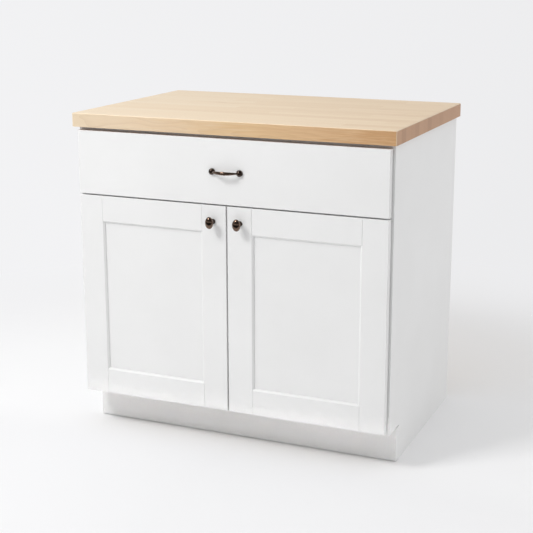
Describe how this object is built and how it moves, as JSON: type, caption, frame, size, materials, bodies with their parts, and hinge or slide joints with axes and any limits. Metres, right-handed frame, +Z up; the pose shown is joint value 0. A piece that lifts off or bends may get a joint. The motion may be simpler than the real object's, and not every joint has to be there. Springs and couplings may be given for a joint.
{
  "type": "kitchen base cabinet",
  "caption": "White kitchen base cabinet with a butcher block worktop, a wide drawer on ball runners over a pair of shaker doors on cup hinges, a shelf inside and a recessed toe kick.",
  "frame": {"origin": "on the floor, at the middle of the bounding box", "axes": "+X along the width to the viewer's right, the fronts face -Y, +Z up"},
  "size_m": [0.932, 0.666, 0.914],
  "materials": {
    "white_paint": "satin white paint on wood",
    "maple_worktop": "oiled maple butcher block",
    "birch_ply": "clear lacquered birch plywood",
    "antique_bronze": "antique bronze, rubbed",
    "zinc_steel": "zinc plated",
    "nickel_steel": "nickel plated",
    "clear_rubber": "clear soft bumper"
  },
  "bodies": {
    "carcass": {"left_side_panel": "white_paint", "right_side_panel": "white_paint", "deck_panel": "birch_ply", "back_panel": "birch_ply", "hanging_rail": "birch_ply", "toe_kick_board": "white_paint", "corner_braces": "birch_ply", "frame_left_stile": "white_paint", "frame_right_stile": "white_paint", "frame_top_rail": "white_paint", "frame_middle_rail": "white_paint", "frame_bottom_rail": "white_paint", "worktop": "maple_worktop", "worktop_screws": "zinc_steel", "shelf": "birch_ply", "shelf_pins": "zinc_steel", "left_runner_cabinet_member": "zinc_steel", "right_runner_cabinet_member": "zinc_steel", "runner_blocks": "birch_ply", "runner_cabinet_screws": "zinc_steel", "left_hinge_arms": "nickel_steel", "right_hinge_arms": "nickel_steel", "hinge_arm_screws": "zinc_steel"},
    "runner_middle": {"left_runner_middle_member": "zinc_steel", "right_runner_middle_member": "zinc_steel"},
    "outer_cages": {"outer_ball_cages": "zinc_steel"},
    "inner_cages": {"inner_ball_cages": "zinc_steel"},
    "drawer": {"drawer_front": "white_paint", "drawer_left_side": "birch_ply", "drawer_right_side": "birch_ply", "drawer_box_front": "birch_ply", "drawer_box_back": "birch_ply", "drawer_bottom": "birch_ply", "left_runner_drawer_member": "zinc_steel", "right_runner_drawer_member": "zinc_steel", "drawer_pull": "antique_bronze", "drawer_pull_screws": "zinc_steel", "drawer_front_screws": "zinc_steel", "runner_drawer_screws": "zinc_steel", "drawer_bumpers": "clear_rubber"},
    "left_door": {"left_door_hinge_stile": "white_paint", "left_door_closing_stile": "white_paint", "left_door_top_rail": "white_paint", "left_door_bottom_rail": "white_paint", "left_door_panel": "white_paint", "left_door_knob": "antique_bronze", "left_door_knob_screw": "zinc_steel", "left_door_hinge_cups": "nickel_steel", "left_door_hinge_pins": "nickel_steel", "left_door_bumpers": "clear_rubber"},
    "right_door": {"right_door_hinge_stile": "white_paint", "right_door_closing_stile": "white_paint", "right_door_top_rail": "white_paint", "right_door_bottom_rail": "white_paint", "right_door_panel": "white_paint", "right_door_knob": "antique_bronze", "right_door_knob_screw": "zinc_steel", "right_door_hinge_cups": "nickel_steel", "right_door_hinge_pins": "nickel_steel", "right_door_bumpers": "clear_rubber"}
  },
  "joints": [
    {"name": "drawer_slide", "type": "slide", "parent": "carcass", "child": "drawer", "axis": [0, -1, 0], "range_m": [0, 0.45]},
    {"name": "runner_middle_slide", "type": "slide", "parent": "carcass", "child": "runner_middle", "axis": [0, -1, 0], "range_m": [0, 0.225]},
    {"name": "outer_cage_slide", "type": "slide", "parent": "carcass", "child": "outer_cages", "axis": [0, -1, 0], "range_m": [0, 0.1125]},
    {"name": "inner_cage_slide", "type": "slide", "parent": "carcass", "child": "inner_cages", "axis": [0, -1, 0], "range_m": [0, 0.3375]},
    {"name": "left_door_hinge", "type": "hinge", "parent": "carcass", "child": "left_door", "pos_m": [-0.4433, -0.2895, 0.3985], "axis": [0, 0, -1], "range_deg": [0, 105]},
    {"name": "right_door_hinge", "type": "hinge", "parent": "carcass", "child": "right_door", "pos_m": [0.4433, -0.2895, 0.3985], "axis": [0, 0, 1], "range_deg": [0, 105]}
  ],
  "couplings": [
    {"joint": "runner_middle_slide", "follows": "drawer_slide", "ratio": 0.5},
    {"joint": "outer_cage_slide", "follows": "drawer_slide", "ratio": 0.25},
    {"joint": "inner_cage_slide", "follows": "drawer_slide", "ratio": 0.75}
  ]
}
